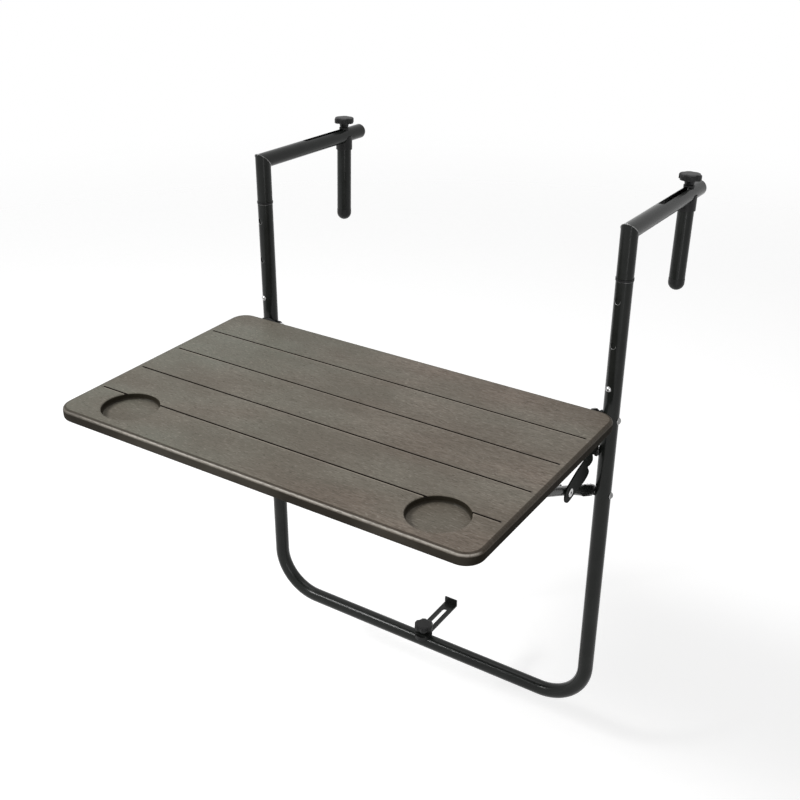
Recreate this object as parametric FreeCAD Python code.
import FreeCAD, Part
import math
import os

# Folding table that hangs on a balcony railing.
# Millimetres. +X runs along the table's long side, -Y faces the person at the table,
# +Y faces the railing, +Z is up. The origin lies midway between the two posts, on their common
# plane, at the height of the hooks' underside, where the table hangs on the railing.
# Heights in this file are measured from the frame's lowest line, and write() lowers every piece
# by HANG_Z, which brings it to the origin.

V = FreeCAD.Vector
X_AXIS = V(1, 0, 0)
Y_AXIS = V(0, 1, 0)
Z_AXIS = V(0, 0, 1)
ORIGIN = V(0, 0, 0)
SIDES = {"left": -1, "right": 1}

# Frame: one tube bent into a U, its two ends are the posts.
TUBE_R = 11.0
TUBE_BORE_R = 9.6
POST_X = 280.0
FRAME_BEND_R = 70.0
POST_TOP_Z = 687.5
BUSH_H = 3.0
BUSH_R = 11.6

# Table top.
TOP_LENGTH = 610.0
TOP_DEPTH = 370.0
TOP_THICK = 17.0
TOP_Z = 523.0
TOP_BACK_Y = -36.5
TOP_FRONT_Y = TOP_BACK_Y - TOP_DEPTH
TOP_CORNER_R = 24.0
TOP_EDGE_R = 5.0
UNDERSIDE_Z = TOP_Z - TOP_THICK
PLANK_GROOVE_Y = [78.0, 150.4, 222.6, 294.4]
GROOVE_W = 2.6
GROOVE_DEPTH = 1.8
GROOVE_END_MARGIN = 11.5
CUP_R = 37.0
CUP_DEPTH = 9.0
CUP_CENTRES_X = (-225.0, 230.0)
CUP_FROM_FRONT = 53.5
CUP_FLOOR_R = 3.0
CUP_RIM_R = 1.5

# Pivots on the posts.
RUNNING_FIT = 0.05
FOLD_Z = TOP_Z - 28.5
SUPPORT_Z = TOP_Z - 142.0
CATCH_Z = TOP_Z - 78.0
POST_INNER_X = POST_X - TUBE_R
POST_OUTER_X = POST_X + TUBE_R
BOLT_R = 4.0
BOLT_HOLE_R = BOLT_R + RUNNING_FIT
BOLT_HEAD_R = 5.0
BOLT_HEAD_H = 3.2
BOLT_TAIL = 1.5
NUT_T = 6.0
NUT_FLATS = 13.0
WASHER_R = 7.8
WASHER_T = 1.4
WASHER_GAP = 0.1
SLEEVE_R = 6.0

# Hinge brackets under the top.
EAR_T = 3.0
EAR_X = POST_INNER_X - 0.5
EAR_R = 9.0
FLANGE_T = 3.0
FLANGE_INNER_X = 230.0
FLANGE_REACH = 63.0
FLANGE_FROM_BACK = 0.7
BRACKET_SCREW_ROWS = (14.0, 50.0)
BRACKET_SCREW_COLUMNS = (8.0, 25.0)
# The ear behind the top, as distances behind the top's back edge and depths below its surface.
EAR_OUTLINE = [
    (0.7, 17.0), (0.7, 3.5), (3.8, 2.5), (16.0, 7.0),
    (32.5, 20.4), (32.5, 36.6), (4.3, 24.0), (-4.7, 20.0),
]

# Screws into the underside of the top.
SCREW_R = 2.0
SCREW_DEPTH = 7.0
SCREW_HEAD_R = 4.0
SCREW_HEAD_H = 2.2

# Support bow under the top.
BOW_R = 6.5
BOW_BORE_R = 5.3
BOW_X = 258.5
BOW_REACH = 264.7
BOW_RISE_DEG = 25.8
BOW_BEND_R = 40.0
BOW_FLAT_T = 4.0
BOW_FLAT_W = 16.0
BOW_FLAT_LENGTH = 30.0
BOW_FLAT_OFFSET = 4.5
BOW_BLEND_FROM = 20.0
BOW_BLEND_MIDDLE = 40.0
BOW_ROUND_FROM = 60.0
BOW_BORE_FROM = 63.0
BOW_BLEND_HALF_T = 4.2
BOW_BLEND_HALF_W = 7.4
BOW_FLAT_X = BOW_X + BOW_FLAT_OFFSET
CROSSBAR_Y = -BOW_REACH * math.cos(math.radians(BOW_RISE_DEG))

# Rest pads that the bow's crossbar lies against.
PAD_X = 150.0
PAD_LENGTH = 40.0
PAD_T = 3.0
PAD_LIP = 6.0
PAD_FRONT = 9.0
PAD_CLEARANCE = 0.5
PAD_SCREW_INSET = 6.0

# Nuts sit inboard of the ears and of the bow's flattened ends.
UPPER_NUT_X = EAR_X - EAR_T - WASHER_T - WASHER_GAP
LOWER_NUT_X = BOW_FLAT_X - BOW_FLAT_T / 2 - WASHER_T - WASHER_GAP

# Catch links between the bow and the posts.
RIVET_ALONG_BOW = 91.3
RIVET_R = 3.0
RIVET_HOLE_R = RIVET_R + RUNNING_FIT
RIVET_HEAD_R = 6.0
RIVET_HEAD_H = 1.1
RIVET_EYE_DEPTH = 2.5
RIVET_EDGE_R = 0.7
RIVET_EYE_R = 2.0
RIVET_WASHER_R = 6.5
RIVET_WASHER_T = 1.0
LINK_T = 2.0
LINK_INNER_X = BOW_X + BOW_R + 0.3
LINK_OUTER_X = LINK_INNER_X + LINK_T
LINK_NOSE_R = 9.5
LINK_MOUTH_DEG = 20.5
LINK_MOUTH_GAP = 0.35
LINK_MOUTH_FLARE = 1.5
LINK_CREASE_DEPTH = 0.8
LINK_CREASE_R = 3.0
# Edge of the link and ends of its crease, as distances behind the rivet and heights above it.
LINK_OUTLINE = [
    (-15.5, 0), (-11.5, 10), (1, 16), (18, 22.5), (48, 30), (72, 33), (84, 26), (74, 20.5),
    (64.6, 25), (66.5, 16.5), (60, 12.6), (53.5, 11), (56.5, 4), (47, -4.5), (33, -7),
    (12, -9.5), (-9, -11),
]
LINK_CREASE_FROM = (39.0, 32.5)
LINK_CREASE_TO = (58.7, 4.8)
HEEL_Y = -RIVET_ALONG_BOW * math.cos(math.radians(BOW_RISE_DEG))
HEEL_Z = SUPPORT_Z + RIVET_ALONG_BOW * math.sin(math.radians(BOW_RISE_DEG))
STUD_R = 4.0
STUD_HEAD_R = 5.5
STUD_HEAD_H = 2.2

# Hooks.
HOLE_PITCH = 60.0
BUTTON_Z = TOP_Z + 18.5
BUTTON_R = 3.9
BUTTON_RISE = 3.0
BUTTON_INNER_R = 4.0
SNAP_HOLE_R = 4.1
SNAP_TURN_DEG = 16.0
SNAP_OUT = V(-math.sin(math.radians(SNAP_TURN_DEG)), -math.cos(math.radians(SNAP_TURN_DEG)), 0)
INSERT_R = 9.55
INSERT_BORE_R = 8.2
INSERT_BELOW_BUTTON = 22.0
NOTCH_W = 9.0
ARM_Z = TOP_Z + 227.0
ARM_DROP_DEG = 1.7
ARM_LENGTH = 243.0
ARM_CAP_H = 8.0
ARM_SLOT_W = 8.0
ARM_SLOT_Y = (97.0, 212.0)
WELD_R = 0.9
RIDING_GAP = 0.3
HANG_Z = ARM_Z - TUBE_R

# Fingers and what clamps them, drawn square to a level arm and then turned down with it.
FINGER_Y = 201.5
FINGER_BOTTOM_Z = ARM_Z - 134.5
FINGER_TIP_R = 11.2
FINGER_TIP_H = 17.0
PLUG_LENGTH = 12.0
COLLAR_R = 12.6
COLLAR_BOTTOM_Z = ARM_Z - 21.1
CLAMP_BOLT_R = 3.0
SADDLE_WASHER_R = 7.6
SADDLE_WASHER_TOP = 1.8
KNOB_GAP = 0.2
CLAMP_KNOB_Z = ARM_Z + TUBE_R + SADDLE_WASHER_TOP + KNOB_GAP

# Hand knobs.
KNOB_R = 15.2
KNOB_H = 8.5
KNOB_LOBES = 6
KNOB_SCALLOP_R = 5.0
KNOB_SCALLOP_DEPTH = 2.6
KNOB_EDGE_R = 1.8
KNOB_HUB_R = 6.8
KNOB_HUB_H = 7.0
KNOB_HOLE_DEPTH = 9.5
KNOB_BOLT_REACH = 8.5

# Spacer on the bottom bar.
SPACER_X = 2.5
PLATE_T = 2.5
PLATE_W = 22.0
PLATE_BOTTOM_Z = 24.0
PLATE_FRONT_Y = -10.0
PLATE_LIP_Y = 88.0
PLATE_LIP_H = 12.5
PLATE_SLOT_W = 7.0
PLATE_SLOT_Y = (-4.5, 69.5)
SADDLE_R = 14.0
SADDLE_BOTTOM_Z = 16.5
SPACER_BOLT_FROM_Z = TUBE_R + 1.0


def rod(start, direction, radius, length):
    """Solid round bar from a start point along a direction."""
    return Part.makeCylinder(radius, length, start, direction)


def tube(start, direction, outer_r, inner_r, length):
    """Round tube from a start point along a direction."""
    return rod(start, direction, outer_r, length).cut(rod(start, direction, inner_r, length))


def box(x_range, y_range, z_range):
    """Axis-aligned block between two corners."""
    corner = V(x_range[0], y_range[0], z_range[0])
    return Part.makeBox(x_range[1] - x_range[0], y_range[1] - y_range[0], z_range[1] - z_range[0], corner)


def slot_cutter(centre_x, y_range, z_range, width):
    """Block with round ends that runs along Y, for cutting a slot."""
    radius = width / 2
    height = z_range[1] - z_range[0]
    body = box((centre_x - radius, centre_x + radius), (y_range[0] + radius, y_range[1] - radius), z_range)
    for y in (y_range[0] + radius, y_range[1] - radius):
        body = body.fuse(rod(V(centre_x, y, z_range[0]), Z_AXIS, radius, height))
    return body


def hexagon_nut(start, direction, across_flats, thickness, hole_r):
    """Hexagonal nut whose axis is an X direction."""
    corner_r = across_flats / math.sqrt(3)
    points = []
    for i in range(7):
        angle = math.radians(60 * i)
        points.append(start + V(0, corner_r * math.cos(angle), corner_r * math.sin(angle)))
    face = Part.Face(Part.makePolygon(points))
    body = face.extrude(direction * thickness)
    return body.cut(rod(start, direction, hole_r, thickness))


def dome(start, direction, radius, height):
    """Spherical cap that stands on a flat round base."""
    ball_r = (radius ** 2 + height ** 2) / (2 * height)
    centre = start - direction * (ball_r - height)
    ball = Part.makeSphere(ball_r, centre, direction)
    return ball.common(rod(start, direction, radius, height))


def sweep_round(path_edges, radius, tangent):
    """Round section carried along a smooth path."""
    path = Part.Wire(path_edges)
    start = path_edges[0].valueAt(path_edges[0].FirstParameter)
    section = Part.Wire(Part.makeCircle(radius, start, tangent))
    return path.makePipeShell([section], True, False)


def u_path(half_width, side_from, side_to, bend_r):
    """Edges of a U in the XY plane: down one side, across, and back up the other side."""
    diagonal = bend_r * (1 - math.sqrt(0.5))
    right_top = V(half_width, side_from, 0)
    right_low = V(half_width, side_to - bend_r, 0)
    right_mid = V(half_width - diagonal, side_to - diagonal, 0)
    right_end = V(half_width - bend_r, side_to, 0)
    left_end = V(-half_width + bend_r, side_to, 0)
    left_mid = V(-half_width + diagonal, side_to - diagonal, 0)
    left_low = V(-half_width, side_to - bend_r, 0)
    left_top = V(-half_width, side_from, 0)
    return [
        Part.LineSegment(right_top, right_low).toShape(),
        Part.Arc(right_low, right_mid, right_end).toShape(),
        Part.LineSegment(right_end, left_end).toShape(),
        Part.Arc(left_end, left_mid, left_low).toShape(),
        Part.LineSegment(left_low, left_top).toShape(),
    ]


def u_bar(half_width, side_from, side_to, bend_r, radius):
    """Solid round bar along a U in the XY plane."""
    edges = u_path(half_width, side_from, side_to, bend_r)
    return sweep_round(edges, radius, Y_AXIS)


def u_frame():
    """Hollow U tube with snap holes, bolt holes and the spacer bolt's hole."""
    length = POST_TOP_Z - TUBE_R
    outer = u_bar(POST_X, 0, length, FRAME_BEND_R, TUBE_R)
    bore = u_bar(POST_X, 0, length, FRAME_BEND_R, TUBE_BORE_R)
    frame = outer.cut(bore)
    frame.rotate(ORIGIN, X_AXIS, -90)
    frame.translate(V(0, 0, POST_TOP_Z))
    for side in SIDES.values():
        for step in range(3):
            hole_z = BUTTON_Z + HOLE_PITCH * step
            frame = frame.cut(rod(V(side * POST_X, 0, hole_z), SNAP_OUT, SNAP_HOLE_R, TUBE_R + 1))
        for pivot_z in (FOLD_Z, SUPPORT_Z):
            start = V(side * POST_X - TUBE_R - 1, 0, pivot_z)
            frame = frame.cut(rod(start, X_AXIS, BOLT_R, 2 * TUBE_R + 2))
        stud_start = V(side * POST_X, 0, CATCH_Z)
        frame = frame.cut(rod(stud_start, X_AXIS * -side, STUD_R, TUBE_R + 1))
    return frame.cut(rod(V(SPACER_X, 0, TUBE_R), Z_AXIS, CLAMP_BOLT_R, TUBE_R + 1))


def tube_bushes():
    """Thin plastic rings on the open ends of the posts."""
    return [
        tube(V(side * POST_X, 0, POST_TOP_Z), Z_AXIS, BUSH_R, TUBE_BORE_R, BUSH_H)
        for side in SIDES.values()
    ]


def pivot_bolt(side, pivot_z, inner_x):
    """Dome-headed bolt through a post, threaded end towards the middle."""
    outward = X_AXIS * side
    head_start = V(side * POST_OUTER_X, 0, pivot_z)
    shank = rod(V(side * inner_x, 0, pivot_z), outward, BOLT_R, POST_OUTER_X - inner_x)
    return shank.fuse(dome(head_start, outward, BOLT_HEAD_R, BOLT_HEAD_H))


def pivot_bolts(pivot_z, nut_x):
    """The two bolts of one pivot line."""
    return [pivot_bolt(side, pivot_z, nut_x - NUT_T - BOLT_TAIL) for side in SIDES.values()]


def pivot_nuts(pivot_z, nut_x):
    """Lock nuts on the inner ends of the bolts."""
    return [
        hexagon_nut(V(side * nut_x, 0, pivot_z), X_AXIS * -side, NUT_FLATS, NUT_T, BOLT_R)
        for side in SIDES.values()
    ]


def pivot_washers():
    """Washers beside the nuts, and sleeves that hold the bow clear of the posts."""
    sleeve_length = POST_INNER_X - (BOW_FLAT_X + BOW_FLAT_T / 2) - WASHER_GAP
    washers = []
    for side in SIDES.values():
        inward = X_AXIS * -side
        for nut_x, pivot_z in ((UPPER_NUT_X, FOLD_Z), (LOWER_NUT_X, SUPPORT_Z)):
            start = V(side * (nut_x + WASHER_T), 0, pivot_z)
            washers.append(tube(start, inward, WASHER_R, BOLT_R, WASHER_T))
        sleeve_start = V(side * POST_INNER_X, 0, SUPPORT_Z)
        washers.append(tube(sleeve_start, inward, SLEEVE_R, BOLT_R, sleeve_length))
    return washers


def catch_studs():
    """Headed studs on the posts that seat the noses of the catch links."""
    head_x = LINK_INNER_X - RIDING_GAP
    studs = []
    for side in SIDES.values():
        inward = X_AXIS * -side
        shank = rod(V(side * POST_X, 0, CATCH_Z), inward, STUD_R, POST_X - head_x)
        head = dome(V(side * head_x, 0, CATCH_Z), inward, STUD_HEAD_R, STUD_HEAD_H)
        studs.append(shank.fuse(head))
    return studs


def table_top():
    """Moulded top: rounded slab, two round recesses and four plank grooves."""
    half = TOP_LENGTH / 2
    slab = box((-half, half), (TOP_FRONT_Y, TOP_BACK_Y), (UNDERSIDE_Z, TOP_Z))
    upright = [e for e in slab.Edges if abs(e.tangentAt(e.FirstParameter).z) > 0.9]
    slab = slab.makeFillet(TOP_CORNER_R, upright)
    rim = [e for e in slab.Edges if e.BoundBox.ZLength < 0.01]
    slab = slab.makeFillet(TOP_EDGE_R, rim)
    for centre_x in CUP_CENTRES_X:
        slab = slab.cut(cup_recess(centre_x))
    groove_half = half - GROOVE_END_MARGIN
    groove_z = TOP_Z - GROOVE_DEPTH
    for distance in PLANK_GROOVE_Y:
        y = TOP_BACK_Y - distance
        groove = box((-groove_half, groove_half), (y - GROOVE_W / 2, y + GROOVE_W / 2), (groove_z, TOP_Z + 1))
        for end in (-groove_half, groove_half):
            groove = groove.fuse(rod(V(end, y, groove_z), Z_AXIS, GROOVE_W / 2, GROOVE_DEPTH + 1))
        slab = slab.cut(groove)
    for x, y in bracket_screw_places() + pad_screw_places():
        slab = slab.cut(rod(V(x, y, UNDERSIDE_Z), Z_AXIS, SCREW_R, SCREW_DEPTH))
    return slab


def cup_recess(centre_x):
    """Space of one recess: turned profile with a rounded floor corner and a rounded rim."""
    floor_z = TOP_Z - CUP_DEPTH
    flare_r = CUP_R + CUP_RIM_R
    slant = math.sqrt(0.5)
    floor_mid = V(CUP_R - CUP_FLOOR_R * (1 - slant), 0, floor_z + CUP_FLOOR_R * (1 - slant))
    rim_mid = V(flare_r - CUP_RIM_R * slant, 0, TOP_Z - CUP_RIM_R * (1 - slant))
    corners = [
        V(0, 0, floor_z),
        V(CUP_R - CUP_FLOOR_R, 0, floor_z),
        V(CUP_R, 0, floor_z + CUP_FLOOR_R),
        V(CUP_R, 0, TOP_Z - CUP_RIM_R),
        V(flare_r, 0, TOP_Z),
        V(flare_r, 0, TOP_Z + 1),
        V(0, 0, TOP_Z + 1),
    ]
    outline = Part.Wire([
        Part.LineSegment(corners[0], corners[1]).toShape(),
        Part.Arc(corners[1], floor_mid, corners[2]).toShape(),
        Part.LineSegment(corners[2], corners[3]).toShape(),
        Part.Arc(corners[3], rim_mid, corners[4]).toShape(),
        Part.LineSegment(corners[4], corners[5]).toShape(),
        Part.LineSegment(corners[5], corners[6]).toShape(),
        Part.LineSegment(corners[6], corners[0]).toShape(),
    ])
    recess = Part.Face(outline).revolve(ORIGIN, Z_AXIS, 360)
    recess.translate(V(centre_x, TOP_FRONT_Y + CUP_FROM_FRONT, 0))
    return recess


def bracket_screw_places():
    """Plan positions of the screws that hold the hinge brackets."""
    return [
        (side * (FLANGE_INNER_X + column), TOP_BACK_Y - row)
        for side in SIDES.values() for column in BRACKET_SCREW_COLUMNS for row in BRACKET_SCREW_ROWS
    ]


def pad_screw_places():
    """Plan positions of the screws that hold the rest pads."""
    offset = PAD_LENGTH / 2 - PAD_SCREW_INSET
    return [
        (side * PAD_X + sign * offset, CROSSBAR_Y + BOW_R + PAD_LIP)
        for side in SIDES.values() for sign in (-1, 1)
    ]


def screw(x, y, head_top_z):
    """Pan-head screw driven upwards into the top."""
    shank = rod(V(x, y, head_top_z), Z_AXIS, SCREW_R, UNDERSIDE_Z + SCREW_DEPTH - head_top_z)
    return shank.fuse(dome(V(x, y, head_top_z), -Z_AXIS, SCREW_HEAD_R, SCREW_HEAD_H))


def bracket_screws():
    """Eight screws through the bracket flanges."""
    return [screw(x, y, UNDERSIDE_Z - FLANGE_T) for x, y in bracket_screw_places()]


def pad_screws():
    """Four screws through the rest pads."""
    return [screw(x, y, UNDERSIDE_Z - PAD_T - PAD_LIP) for x, y in pad_screw_places()]


def hinge_bracket(side):
    """Pressed angle: a flange under the top and an upright ear that reaches back to the pivot."""
    inner_x = EAR_X - EAR_T
    back_y = TOP_BACK_Y - FLANGE_FROM_BACK
    front_y = back_y - FLANGE_REACH
    flange_z = UNDERSIDE_Z - FLANGE_T
    flange = box((FLANGE_INNER_X, EAR_X), (front_y, back_y), (flange_z, UNDERSIDE_Z))
    outline = [V(inner_x, front_y, flange_z), V(inner_x, front_y, UNDERSIDE_Z)]
    outline += [V(inner_x, TOP_BACK_Y + behind, TOP_Z - depth) for behind, depth in EAR_OUTLINE]
    ear = Part.Face(Part.makePolygon(outline + outline[:1])).extrude(X_AXIS * EAR_T)
    ear = ear.fuse(rod(V(inner_x, 0, FOLD_Z), X_AXIS, EAR_R, EAR_T))
    bracket = flange.fuse(ear).removeSplitter()
    bracket = bracket.cut(rod(V(inner_x - 1, 0, FOLD_Z), X_AXIS, BOLT_HOLE_R, EAR_T + 2))
    for x, y in bracket_screw_places():
        bracket = bracket.cut(rod(V(abs(x), y, flange_z - 1), Z_AXIS, SCREW_R, FLANGE_T + 2))
    return mirrored(bracket, side)


def mirrored(shape, side):
    """A right-hand piece as it is, or its mirror image for the left side."""
    if side > 0:
        return shape
    return shape.mirror(ORIGIN, X_AXIS)


def rest_pads():
    """Plastic pads under the top: the bow's crossbar lies on their flat and against their lip."""
    back_y = CROSSBAR_Y + BOW_R + 2 * PAD_LIP
    lip_z = UNDERSIDE_Z - PAD_T - PAD_LIP
    pads = []
    for side in SIDES.values():
        x_range = (side * PAD_X - PAD_LENGTH / 2, side * PAD_X + PAD_LENGTH / 2)
        flat = box(x_range, (CROSSBAR_Y - PAD_FRONT, back_y), (UNDERSIDE_Z - PAD_T, UNDERSIDE_Z))
        lip = box(x_range, (CROSSBAR_Y + BOW_R + PAD_CLEARANCE, back_y), (lip_z, UNDERSIDE_Z - PAD_T))
        pad = flat.fuse(lip).removeSplitter()
        for x, y in pad_screw_places():
            pad = pad.cut(rod(V(x, y, lip_z - 1), Z_AXIS, SCREW_R, PAD_T + PAD_LIP + 2))
        pads.append(pad)
    return pads


def place_on_bow(shape):
    """Carry a shape drawn with +Y along the bow's leg from the lower pivot to its real place."""
    shape.rotate(ORIGIN, X_AXIS, 180 - BOW_RISE_DEG)
    shape.translate(V(0, 0, SUPPORT_Z))
    return shape


def oval_wire(centre, half_x, half_z):
    """Oval across the leg that starts at its highest point, so that joined ovals don't twist."""
    if half_x == half_z:
        circle = Part.Wire(Part.makeCircle(half_x, centre, Y_AXIS))
        circle.rotate(centre, Y_AXIS, -90)
        return circle
    ellipse = Part.Ellipse(centre + Z_AXIS * half_z, centre + X_AXIS * half_x, centre)
    return Part.Wire(ellipse.toShape())


def bow_end(side):
    """Flattened end of a leg with its pivot hole, and the blend into the round tube."""
    half_t = BOW_FLAT_T / 2
    half_w = BOW_FLAT_W / 2
    plate = box((BOW_FLAT_X - half_t, BOW_FLAT_X + half_t), (0, BOW_FLAT_LENGTH), (-half_w, half_w))
    plate = plate.fuse(rod(V(BOW_FLAT_X - half_t, 0, 0), X_AXIS, half_w, BOW_FLAT_T))
    plate = plate.cut(rod(V(BOW_FLAT_X - half_t - 1, 0, 0), X_AXIS, BOLT_HOLE_R, BOW_FLAT_T + 2))
    middle = V(BOW_FLAT_X - BOW_FLAT_OFFSET / 2, BOW_BLEND_MIDDLE, 0)
    blend = Part.makeLoft([
        oval_wire(V(BOW_FLAT_X, BOW_BLEND_FROM, 0), half_t, half_w),
        oval_wire(middle, BOW_BLEND_HALF_T, BOW_BLEND_HALF_W),
        oval_wire(V(BOW_X, BOW_ROUND_FROM, 0), BOW_R, BOW_R),
    ], True)
    return [mirrored(plate, side), mirrored(blend, side)]


def support_bow():
    """U-shaped tube under the top: two flattened ends on the posts and a crossbar in front."""
    bow = u_bar(BOW_X, BOW_ROUND_FROM, BOW_REACH, BOW_BEND_R, BOW_R)
    bow = bow.multiFuse(bow_end(-1) + bow_end(1))
    bow = bow.cut(u_bar(BOW_X, BOW_BORE_FROM, BOW_REACH, BOW_BEND_R, BOW_BORE_R))
    for side in SIDES.values():
        start = V(side * (BOW_X + BOW_R + 1), RIVET_ALONG_BOW, 0)
        bow = bow.cut(rod(start, X_AXIS * -side, RIVET_R, 2 * BOW_R + 2))
    return place_on_bow(bow)


def bow_rivets():
    """Hollow rivets with flat rounded heads that carry the catch links."""
    inner_x = BOW_X - BOW_R - RIVET_WASHER_T
    outer_x = LINK_OUTER_X + WASHER_GAP
    rivets = []
    for side in SIDES.values():
        outward = X_AXIS * side
        rivet = rod(V(side * inner_x, RIVET_ALONG_BOW, 0), outward, RIVET_R, outer_x - inner_x)
        for start_x, direction in ((outer_x, outward), (inner_x, outward * -1)):
            head = rod(V(side * start_x, RIVET_ALONG_BOW, 0), direction, RIVET_HEAD_R, RIVET_HEAD_H)
            far_x = side * start_x + direction.x * RIVET_HEAD_H
            rim = [e for e in head.Edges if e.BoundBox.XLength < 0.01 and abs(e.BoundBox.XMin - far_x) < 0.01]
            rivet = rivet.fuse(head.makeFillet(RIVET_EDGE_R, rim))
        eye_start = V(side * (outer_x + RIVET_HEAD_H), RIVET_ALONG_BOW, 0)
        rivet = rivet.cut(rod(eye_start, outward * -1, RIVET_EYE_R, RIVET_EYE_DEPTH))
        rivets.append(place_on_bow(rivet))
    return rivets


def bow_washers():
    """Washers under the inner heads of the rivets."""
    start_x = BOW_X - BOW_R - RIVET_WASHER_T
    return [
        place_on_bow(tube(V(side * start_x, RIVET_ALONG_BOW, 0), X_AXIS * side,
                          RIVET_WASHER_R, RIVET_R, RIVET_WASHER_T))
        for side in SIDES.values()
    ]


def catch_link(side):
    """Pressed plate: round heel on the rivet, thumb lobe below, forked nose on the post's stud."""
    heel = V(LINK_INNER_X, HEEL_Y, HEEL_Z)
    nose = V(LINK_INNER_X, 0, CATCH_Z)
    points = [heel + V(0, y, z) for y, z in LINK_OUTLINE]
    curve = Part.BSplineCurve()
    curve.interpolate(Points=points, PeriodicFlag=True)
    plate = Part.Face(Part.Wire(curve.toShape())).extrude(X_AXIS * LINK_T)
    plate = plate.fuse(rod(nose, X_AXIS, LINK_NOSE_R, LINK_T))
    plate = plate.cut(rod(heel - X_AXIS, X_AXIS, RIVET_HOLE_R, LINK_T + 2))
    plate = plate.cut(link_mouth(nose))
    crease_x = LINK_T + LINK_CREASE_R - LINK_CREASE_DEPTH
    crease_from = heel + V(crease_x, *LINK_CREASE_FROM)
    crease_along = heel + V(crease_x, *LINK_CREASE_TO) - crease_from
    plate = plate.cut(rod(crease_from, crease_along, LINK_CREASE_R, crease_along.Length))
    return mirrored(plate, side)


def link_mouth(nose):
    """Space for the stud, open towards the back so that the nose can leave it."""
    seat_r = STUD_R + LINK_MOUTH_GAP
    slope = math.radians(LINK_MOUTH_DEG)
    outwards = V(0, math.cos(slope), math.sin(slope))
    sideways = V(0, -outwards.z, outwards.y)
    reach = 2 * LINK_NOSE_R
    corners = [
        nose + sideways * seat_r,
        nose - sideways * seat_r,
        nose - sideways * (seat_r + LINK_MOUTH_FLARE) + outwards * reach,
        nose + sideways * (seat_r + LINK_MOUTH_FLARE) + outwards * reach,
    ]
    mouth = Part.Face(Part.makePolygon(corners + corners[:1])).extrude(X_AXIS * (LINK_T + 2))
    mouth = mouth.fuse(rod(nose, X_AXIS, seat_r, LINK_T + 2))
    mouth.translate(-X_AXIS)
    return mouth


def riser(side):
    """Hook upright: its swaged lower end slides in the post, its top is mitred."""
    shoulder_z = POST_TOP_Z + BUSH_H + RIDING_GAP
    bottom_z = BUTTON_Z - INSERT_BELOW_BUTTON
    x = side * POST_X
    upright = rod(V(x, 0, shoulder_z), Z_AXIS, TUBE_R, ARM_Z + 2 * TUBE_R - shoulder_z)
    upright = upright.fuse(rod(V(x, 0, bottom_z), Z_AXIS, INSERT_R, shoulder_z - bottom_z))
    upright = upright.cut(rod(V(x, 0, bottom_z), Z_AXIS, INSERT_BORE_R, ARM_Z + 3 * TUBE_R - bottom_z))
    upright = upright.cut(mitre_half(x, 1))
    notch_top = BUTTON_Z + BUTTON_R + RIDING_GAP
    notch = box((x - NOTCH_W / 2, x + NOTCH_W / 2), (-TUBE_R, 0), (bottom_z, notch_top))
    notch.rotate(V(x, 0, 0), Z_AXIS, -SNAP_TURN_DEG)
    return upright.cut(notch)


def mitre_half(x, above):
    """Space above (1) or below (-1) the mitre plane at the corner of a hook."""
    size = 12 * TUBE_R
    half = Part.makeBox(size, size, size / 2, V(x - size / 2, -size / 2, min(0, above) * size / 2))
    half.rotate(V(x, 0, 0), X_AXIS, -(45 + ARM_DROP_DEG / 2))
    half.translate(V(0, 0, ARM_Z))
    return half


def tilted(shape, x):
    """Turn a piece of an arm, drawn level, down by the arm's slight drop."""
    shape.rotate(V(x, 0, ARM_Z), X_AXIS, -ARM_DROP_DEG)
    return shape


def arm(side):
    """Tube over the railing, slotted along its top and bottom."""
    x = side * POST_X
    start = V(x, -2 * TUBE_R, ARM_Z)
    body = tube(start, Y_AXIS, TUBE_R, TUBE_BORE_R, ARM_LENGTH + 2 * TUBE_R)
    body = body.cut(slot_cutter(x, ARM_SLOT_Y, (ARM_Z - 2 * TUBE_R, ARM_Z + 2 * TUBE_R), ARM_SLOT_W))
    return tilted(body, x).cut(mitre_half(x, -1))


def corner_weld(side):
    """Weld bead around the mitre joint of a hook."""
    x = side * POST_X
    centre = V(x, 0, ARM_Z)
    half_angle = math.radians(45 - ARM_DROP_DEG / 2)
    inwards = V(0, math.sin(half_angle), -math.cos(half_angle))
    ridge = Part.Ellipse(centre + inwards * (TUBE_R / math.sin(half_angle)), centre + X_AXIS * TUBE_R, centre)
    path = ridge.toShape()
    start = path.valueAt(path.FirstParameter)
    section = Part.Wire(Part.makeCircle(WELD_R, start, path.tangentAt(path.FirstParameter)))
    bead = Part.Wire(path).makePipeShell([section], True, False)
    upright = rod(V(x, 0, ARM_Z - 4 * TUBE_R), Z_AXIS, TUBE_R, 8 * TUBE_R).cut(mitre_half(x, 1))
    level = rod(V(x, -4 * TUBE_R, ARM_Z), Y_AXIS, TUBE_R, 8 * TUBE_R)
    return bead.cut(upright).cut(tilted(level, x).cut(mitre_half(x, -1)))


def arm_cap(side):
    """Domed plastic plug in the open end of an arm."""
    x = side * POST_X
    start = V(x, ARM_LENGTH, ARM_Z)
    plug = rod(start, -Y_AXIS, TUBE_BORE_R, PLUG_LENGTH)
    return tilted(plug.fuse(dome(start, Y_AXIS, TUBE_R, ARM_CAP_H)), x)


def snap_button(side):
    """Spring button in the lowest hole of a post, its dome stands out to the front."""
    centre = V(side * POST_X, 0, BUTTON_Z)
    body = rod(centre + SNAP_OUT * BUTTON_INNER_R, SNAP_OUT, BUTTON_R, TUBE_R - BUTTON_INNER_R)
    return body.fuse(dome(centre + SNAP_OUT * TUBE_R, SNAP_OUT, BUTTON_R, BUTTON_RISE))


def finger(side):
    """Tube that comes down behind the railing."""
    x = side * POST_X
    bottom_z = FINGER_BOTTOM_Z + FINGER_TIP_H
    length = COLLAR_BOTTOM_Z - bottom_z
    return tilted(tube(V(x, FINGER_Y, bottom_z), Z_AXIS, TUBE_R, TUBE_BORE_R, length), x)


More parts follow.
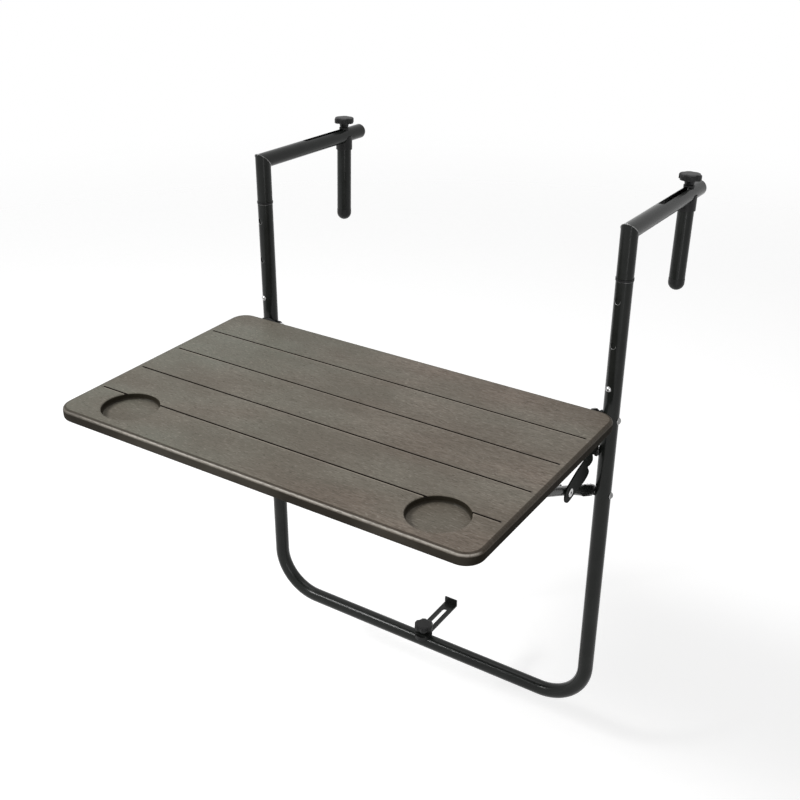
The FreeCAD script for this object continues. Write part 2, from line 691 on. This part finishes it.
def finger_tip(side):
    """Rounded plastic plug at the lower end of a finger."""
    x = side * POST_X
    ball_centre = V(x, FINGER_Y, FINGER_BOTTOM_Z + FINGER_TIP_R)
    skirt_h = FINGER_TIP_H - FINGER_TIP_R
    tip = Part.makeSphere(FINGER_TIP_R, ball_centre)
    tip = tip.common(rod(ball_centre, -Z_AXIS, FINGER_TIP_R, FINGER_TIP_R))
    tip = tip.fuse(rod(ball_centre, Z_AXIS, FINGER_TIP_R, skirt_h))
    tip = tip.fuse(rod(ball_centre, Z_AXIS, TUBE_BORE_R, skirt_h + PLUG_LENGTH))
    return tilted(tip.removeSplitter(), x)


def arm_clearance(x):
    """Round space that an arm drawn level needs, with a little air."""
    return rod(V(x, 0, ARM_Z), Y_AXIS, TUBE_R + RIDING_GAP, 1.5 * ARM_LENGTH)


def collar(side):
    """Plastic collar between a finger and the underside of its arm."""
    x = side * POST_X
    start = V(x, FINGER_Y, COLLAR_BOTTOM_Z)
    body = rod(start, Z_AXIS, COLLAR_R, ARM_Z - COLLAR_BOTTOM_Z)
    plug = rod(start, -Z_AXIS, TUBE_BORE_R, PLUG_LENGTH)
    body = body.cut(arm_clearance(x)).fuse(plug)
    body = body.cut(rod(start - Z_AXIS * PLUG_LENGTH, Z_AXIS, CLAMP_BOLT_R, 5 * PLUG_LENGTH))
    return tilted(body, x)


def clamp_bolt(side):
    """Bolt that stands up from the finger through the arm's slot into the knob."""
    x = side * POST_X
    start_z = COLLAR_BOTTOM_Z - PLUG_LENGTH
    length = CLAMP_KNOB_Z + KNOB_BOLT_REACH - start_z
    return tilted(rod(V(x, FINGER_Y, start_z), Z_AXIS, CLAMP_BOLT_R, length), x)


def saddle_washer(side):
    """Washer with a hollow underside that rides on top of an arm."""
    x = side * POST_X
    start = V(x, FINGER_Y, ARM_Z)
    body = rod(start, Z_AXIS, SADDLE_WASHER_R, TUBE_R + SADDLE_WASHER_TOP)
    body = body.cut(arm_clearance(x))
    return tilted(body.cut(rod(start, Z_AXIS, CLAMP_BOLT_R, 2 * TUBE_R)), x)


def clamp_knob(side):
    """Hand knob on top of an arm, square to it."""
    x = side * POST_X
    return tilted(knob(V(x, FINGER_Y, CLAMP_KNOB_Z)), x)


def knob(centre):
    """Lobed hand knob: a hub with a blind hole for the bolt, and a scalloped head."""
    head_start = centre + Z_AXIS * KNOB_HUB_H
    body = rod(head_start, Z_AXIS, KNOB_R, KNOB_H)
    reach = KNOB_R + KNOB_SCALLOP_R - KNOB_SCALLOP_DEPTH
    for i in range(KNOB_LOBES):
        angle = math.radians(360 / KNOB_LOBES * i)
        offset = V(reach * math.cos(angle), reach * math.sin(angle), 0)
        body = body.cut(rod(head_start + offset, Z_AXIS, KNOB_SCALLOP_R, KNOB_H))
    rims = [e for e in body.Edges if e.BoundBox.ZLength < 0.01 and e.BoundBox.ZMax > head_start.z + 1]
    body = body.makeFillet(KNOB_EDGE_R, rims)
    body = body.fuse(rod(centre, Z_AXIS, KNOB_HUB_R, KNOB_HUB_H)).removeSplitter()
    return body.cut(rod(centre, Z_AXIS, CLAMP_BOLT_R + RUNNING_FIT, KNOB_HOLE_DEPTH))


def bar_saddle():
    """Round plastic collar over the bottom bar that carries the spacer plate on its flat top."""
    start = V(SPACER_X, 0, SADDLE_BOTTOM_Z)
    body = rod(start, Z_AXIS, SADDLE_R, PLATE_BOTTOM_Z - WASHER_GAP - SADDLE_BOTTOM_Z)
    body = body.cut(rod(V(SPACER_X - SADDLE_R, 0, TUBE_R), X_AXIS, TUBE_R, 2 * SADDLE_R))
    return body.cut(rod(start, Z_AXIS, CLAMP_BOLT_R, 2 * TUBE_R))


def spacer_bolt():
    """Bolt that stands up from inside the bottom bar."""
    start = V(SPACER_X, 0, SPACER_BOLT_FROM_Z)
    top_z = PLATE_BOTTOM_Z + PLATE_T + KNOB_GAP + KNOB_BOLT_REACH
    return rod(start, Z_AXIS, CLAMP_BOLT_R, top_z - start.z)


def spacer_plate():
    """Slotted strip with a turned-up end that bears on the railing."""
    x_range = (SPACER_X - PLATE_W / 2, SPACER_X + PLATE_W / 2)
    top_z = PLATE_BOTTOM_Z + PLATE_T
    strip = box(x_range, (PLATE_FRONT_Y, PLATE_LIP_Y), (PLATE_BOTTOM_Z, top_z))
    lip = box(x_range, (PLATE_LIP_Y - PLATE_T, PLATE_LIP_Y), (PLATE_BOTTOM_Z, PLATE_BOTTOM_Z + PLATE_LIP_H))
    slot = slot_cutter(SPACER_X, PLATE_SLOT_Y, (PLATE_BOTTOM_Z - 1, top_z + 1), PLATE_SLOT_W)
    return strip.fuse(lip).removeSplitter().cut(slot)


def write(name, shape):
    """Bring one sub-part down to the origin, check it and write it as its own file."""
    if isinstance(shape, list):
        shape = Part.makeCompound(shape)
    shape.translate(-Z_AXIS * HANG_Z)
    solids = len(shape.Solids)
    print(f"{name}: {solids} solid(s), {shape.Volume / 1000:.1f} cm3, valid {shape.isValid()}")
    shape.exportStep(f"parts/{name}.step")


os.makedirs("parts", exist_ok=True)
write("u_frame", u_frame())
write("tube_bushes", tube_bushes())
write("fold_bolts", pivot_bolts(FOLD_Z, UPPER_NUT_X))
write("fold_nuts", pivot_nuts(FOLD_Z, UPPER_NUT_X))
write("support_bolts", pivot_bolts(SUPPORT_Z, LOWER_NUT_X))
write("support_nuts", pivot_nuts(SUPPORT_Z, LOWER_NUT_X))
write("pivot_washers", pivot_washers())
write("catch_studs", catch_studs())
write("bar_saddle", bar_saddle())
write("spacer_bolt", spacer_bolt())
write("spacer_plate", spacer_plate())
write("spacer_knob", knob(V(SPACER_X, 0, PLATE_BOTTOM_Z + PLATE_T + KNOB_GAP)))
write("table_top", table_top())
write("bracket_screws", bracket_screws())
write("rest_pads", rest_pads())
write("pad_screws", pad_screws())
write("support_bow", support_bow())
write("bow_rivets", bow_rivets())
write("bow_washers", bow_washers())
for word, sign in SIDES.items():
    write(f"hinge_bracket_{word}", hinge_bracket(sign))
    write(f"catch_link_{word}", catch_link(sign))
    write(f"riser_{word}", riser(sign))
    write(f"arm_{word}", arm(sign))
    write(f"corner_weld_{word}", corner_weld(sign))
    write(f"arm_cap_{word}", arm_cap(sign))
    write(f"snap_button_{word}", snap_button(sign))
    write(f"finger_{word}", finger(sign))
    write(f"finger_tip_{word}", finger_tip(sign))
    write(f"collar_{word}", collar(sign))
    write(f"clamp_bolt_{word}", clamp_bolt(sign))
    write(f"saddle_washer_{word}", saddle_washer(sign))
    write(f"clamp_knob_{word}", clamp_knob(sign))
